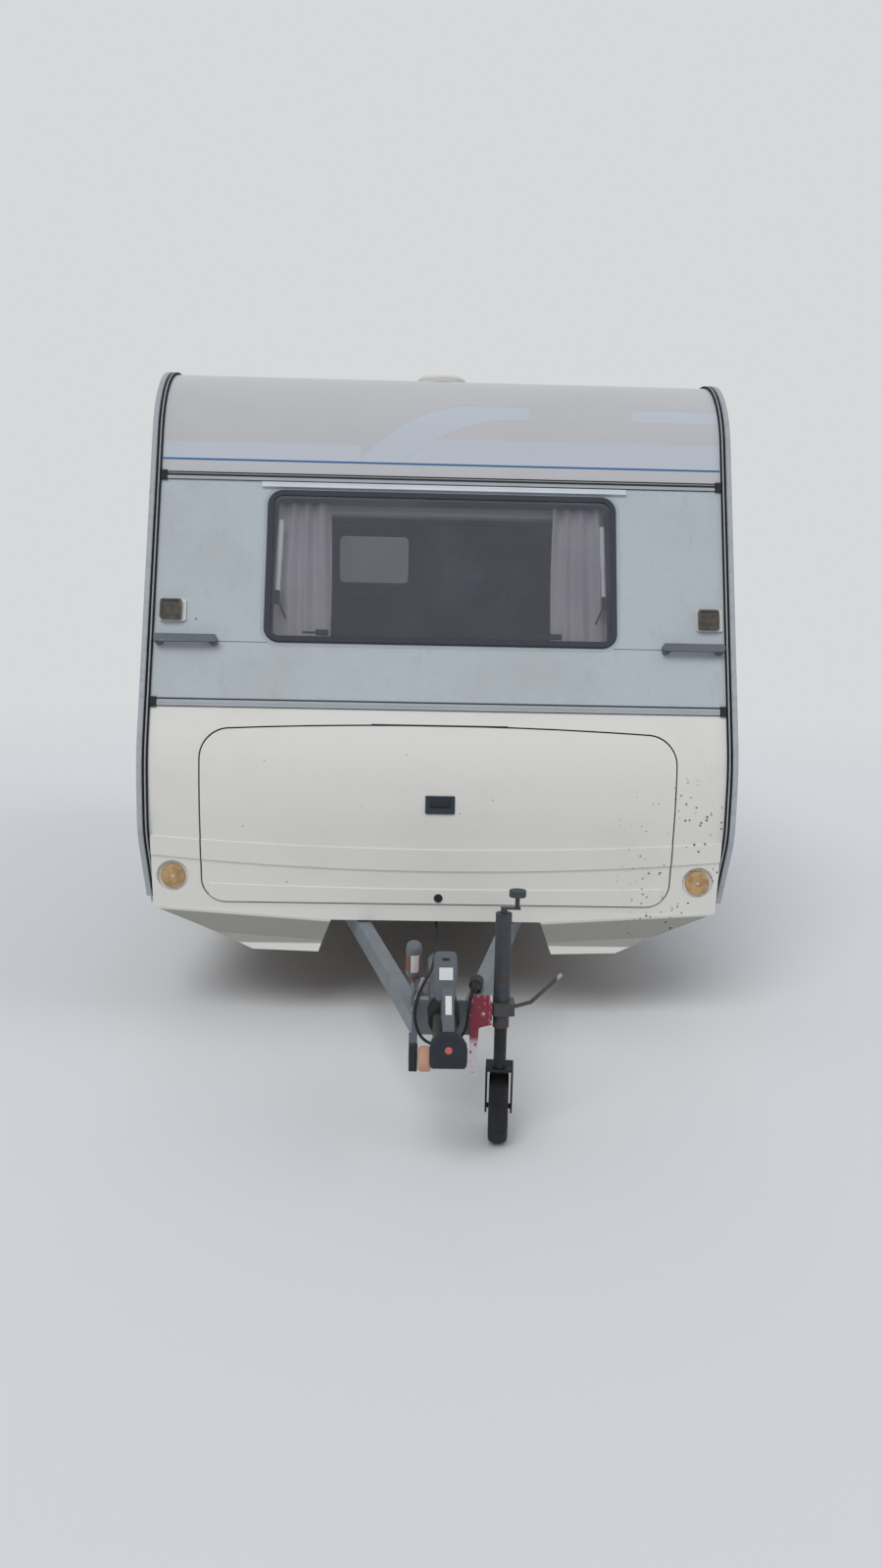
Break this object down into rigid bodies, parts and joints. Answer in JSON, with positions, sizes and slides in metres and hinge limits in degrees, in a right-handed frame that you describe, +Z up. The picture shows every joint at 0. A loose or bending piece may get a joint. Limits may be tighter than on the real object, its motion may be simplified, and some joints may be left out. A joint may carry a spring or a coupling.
{
  "type": "travel caravan",
  "caption": "Touring caravan on one axle with a V drawbar, ball coupling, jockey wheel, corner steadies, hinged door, gas locker lid and roof light.",
  "frame": {"origin": "on the ground, under the middle of the caravan's length and width", "axes": "+Y towards the caravan's rear, its drawbar at -Y; +Z up; +X towards its off side wall, the entrance door at -X"},
  "size_m": [2.3, 6, 2.655],
  "materials": {
    "wall_panel": "hammered white aluminium sheet",
    "moulding": "glossy cream white",
    "roof_skin": "white",
    "board": "plywood",
    "bright_trim": "satin",
    "frame_plastic": "dark grey",
    "pane": "tinted acrylic",
    "white_plastic": "satin white",
    "handle_plastic": "grey",
    "lamp_white": "aged clear lens",
    "lamp_red": "red lens",
    "lamp_amber": "amber lens",
    "galvanised": "dull zinc",
    "black_steel": "black",
    "red_steel": "worn red",
    "dirty_zinc": "dirty, rusty at the foot",
    "grip_plastic": "faded",
    "rubber_black": "black",
    "tyre_black": "black",
    "rim_silver": "silver",
    "furniture_board": "foil covered board",
    "cloth": "upholstery",
    "curtain_cloth": "thin curtain",
    "lead_black": "matt"
  },
  "bodies": {
    "caravan": {"floor": "board", "side_wall_left": "wall_panel", "side_wall_right": "wall_panel", "roof": "roof_skin", "front_cap": "wall_panel", "front_wall": "wall_panel", "front_lower_panel": "moulding", "inner_boards": "board", "rear_wall": "wall_panel", "rear_lower_panel": "moulding", "corner_rails": "bright_trim", "front_trims": "bright_trim", "window_frames": "frame_plastic", "window_panes": "pane", "roof_fittings": "white_plastic", "grab_handles": "handle_plastic", "marker_lamps": "lamp_white", "round_lamps": "lamp_white", "rear_lamps": "lamp_red", "side_markers": "lamp_amber", "side_fittings": "white_plastic", "side_hinges": "bright_trim", "wheel_boxes": "black_steel", "wheel_arch_trims": "white_plastic", "drawbar_left": "galvanised", "drawbar_right": "galvanised", "chassis_members": "galvanised", "floor_bearers": "board", "steady_brackets": "galvanised", "axle": "galvanised", "overrun_unit": "black_steel", "overrun_gaiter": "rubber_black", "coupling_head": "black_steel", "coupling_fittings": "handle_plastic", "hand_brake": "grip_plastic", "jockey_clamp": "red_steel", "jockey_outer_tube": "dirty_zinc", "furniture": "furniture_board", "cushions": "cloth", "curtains": "curtain_cloth", "towing_lead": "lead_black", "lead_gland": "rubber_black", "lead_plug": "lead_black"},
    "wheel_left": {"tyre_left": "tyre_black", "rim_left": "rim_silver"},
    "wheel_right": {"tyre_right": "tyre_black", "rim_right": "rim_silver"},
    "jockey_slide": {"jockey_inner_tube": "dirty_zinc"},
    "jockey_fork": {"jockey_fork": "dirty_zinc"},
    "jockey_wheel": {"jockey_wheel": "rubber_black"},
    "entrance_door": {"door": "wall_panel", "door_fittings": "frame_plastic", "door_window_pane": "pane"},
    "gas_locker_lid": {"gas_locker_lid": "moulding"},
    "service_hatch": {"service_hatch": "white_plastic"},
    "skylight_lid": {"skylight_lid": "white_plastic"},
    "steady_front_left": {"steady_leg_front_left": "galvanised"},
    "steady_front_right": {"steady_leg_front_right": "galvanised"},
    "steady_rear_left": {"steady_leg_rear_left": "galvanised"},
    "steady_rear_right": {"steady_leg_rear_right": "galvanised"}
  },
  "joints": [
    {"name": "wheel_left_spin", "type": "hinge", "parent": "caravan", "child": "wheel_left", "pos_m": [-1.0035, 0.85, 0.307], "axis": [1, 0, 0], "continuous": true},
    {"name": "wheel_right_spin", "type": "hinge", "parent": "caravan", "child": "wheel_right", "pos_m": [1.0035, 0.85, 0.307], "axis": [1, 0, 0], "continuous": true},
    {"name": "jockey_height", "type": "slide", "parent": "caravan", "child": "jockey_slide", "axis": [0, 0, 1], "range_m": [-0.1, 0.12]},
    {"name": "jockey_swivel", "type": "hinge", "parent": "jockey_slide", "child": "jockey_fork", "pos_m": [0.18, -2.641, 0.262], "axis": [0, 0, 1], "continuous": true},
    {"name": "jockey_roll", "type": "hinge", "parent": "jockey_fork", "child": "jockey_wheel", "pos_m": [0.18392, -2.59617, 0.115], "axis": [0.9962, -0.0872, 0], "continuous": true},
    {"name": "entrance_door", "type": "hinge", "parent": "caravan", "child": "entrance_door", "pos_m": [-1.144, -0.3025, 0.54], "axis": [0, 0, 1], "range_deg": [0, 165]},
    {"name": "gas_locker_lid", "type": "hinge", "parent": "caravan", "child": "gas_locker_lid", "pos_m": [0, -1.60896, 1.212], "axis": [-1, 0, 0], "range_deg": [0, 75]},
    {"name": "service_hatch", "type": "hinge", "parent": "caravan", "child": "service_hatch", "pos_m": [-1.144, 2.4475, 0.76], "axis": [0, 0, 1], "range_deg": [0, 150]},
    {"name": "skylight_lid", "type": "hinge", "parent": "caravan", "child": "skylight_lid", "pos_m": [0, 0.0657, 2.629], "axis": [1, 0, 0], "range_deg": [0, 50]},
    {"name": "steady_front_left", "type": "hinge", "parent": "caravan", "child": "steady_front_left", "pos_m": [-0.88, -1.325, 0.408], "axis": [-1, 0, 0], "range_deg": [0, 62]},
    {"name": "steady_front_right", "type": "hinge", "parent": "caravan", "child": "steady_front_right", "pos_m": [0.88, -1.325, 0.408], "axis": [-1, 0, 0], "range_deg": [0, 62]},
    {"name": "steady_rear_left", "type": "hinge", "parent": "caravan", "child": "steady_rear_left", "pos_m": [-0.88, 2.698, 0.408], "axis": [1, 0, 0], "range_deg": [0, 62]},
    {"name": "steady_rear_right", "type": "hinge", "parent": "caravan", "child": "steady_rear_right", "pos_m": [0.88, 2.698, 0.408], "axis": [1, 0, 0], "range_deg": [0, 62]}
  ]
}
